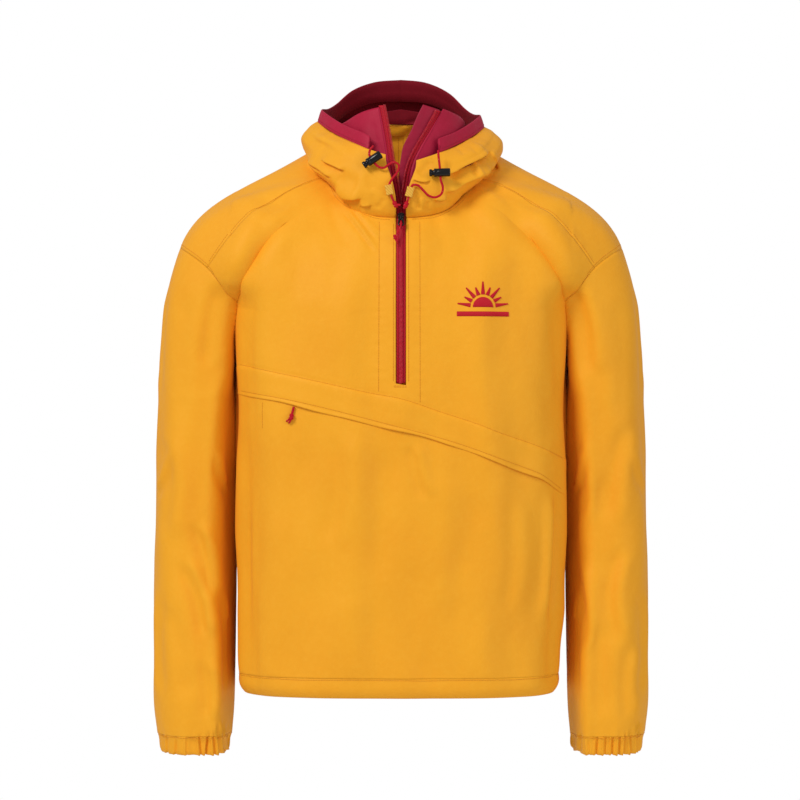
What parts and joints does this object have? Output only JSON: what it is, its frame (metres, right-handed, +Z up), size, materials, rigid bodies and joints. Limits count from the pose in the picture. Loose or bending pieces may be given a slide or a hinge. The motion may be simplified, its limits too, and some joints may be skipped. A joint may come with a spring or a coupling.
{
  "type": "anorak pullover",
  "caption": "Hooded half-zip nylon anorak pullover, filled out with no wearer: diagonal pocket flap, zip storm flap, cord locks at the hood, elastic cuffs.",
  "frame": {"origin": "between the wearer's shoulders, on the garment's centre line inside the neck", "axes": "+Z up, -Y the garment's front, +X the wearer's left"},
  "size_m": [0.6172, 0.3347, 0.8517],
  "materials": {
    "shell_nylon": "dull plain-weave nylon, golden yellow",
    "crimson_nylon": "dull plain-weave nylon, crimson",
    "zip_tape": "woven polyester tape, red",
    "drawcord": "braided polyester, red with light flecks",
    "cord_lock": "moulded acetal, black, glossy",
    "zip_slider": "zinc, painted black",
    "zip_pull": "moulded acetal, black"
  },
  "bodies": {
    "garment": {"back": "shell_nylon", "front_lower": "shell_nylon", "front_upper": "shell_nylon", "hem_band": "shell_nylon", "hood_shell": "shell_nylon", "hood_tab_left": "shell_nylon", "hood_tab_right": "shell_nylon", "pocket_flap": "shell_nylon", "sleeve_left": "shell_nylon", "sleeve_right": "shell_nylon", "cuff_left": "shell_nylon", "cuff_right": "shell_nylon", "brim_binding": "crimson_nylon", "hood_facing": "crimson_nylon", "inner_collar": "crimson_nylon", "storm_flap": "crimson_nylon", "zip_tape_left": "zip_tape", "zip_tape_right": "zip_tape", "drawcord_left": "drawcord", "drawcord_right": "drawcord", "cord_knot_left": "drawcord", "cord_knot_right": "drawcord", "pocket_pull_cord": "drawcord", "cord_lock_left": "cord_lock", "cord_lock_right": "cord_lock", "zip_slider": "zip_slider"},
    "pull": {"zip_pull": "zip_pull", "pull_cord": "drawcord"}
  },
  "joints": [
    {"name": "pull_hinge", "type": "hinge", "parent": "garment", "child": "pull", "pos_m": [0, -0.10802, -0.07107], "axis": [-1, 0, 0], "range_deg": [0, 110]}
  ]
}
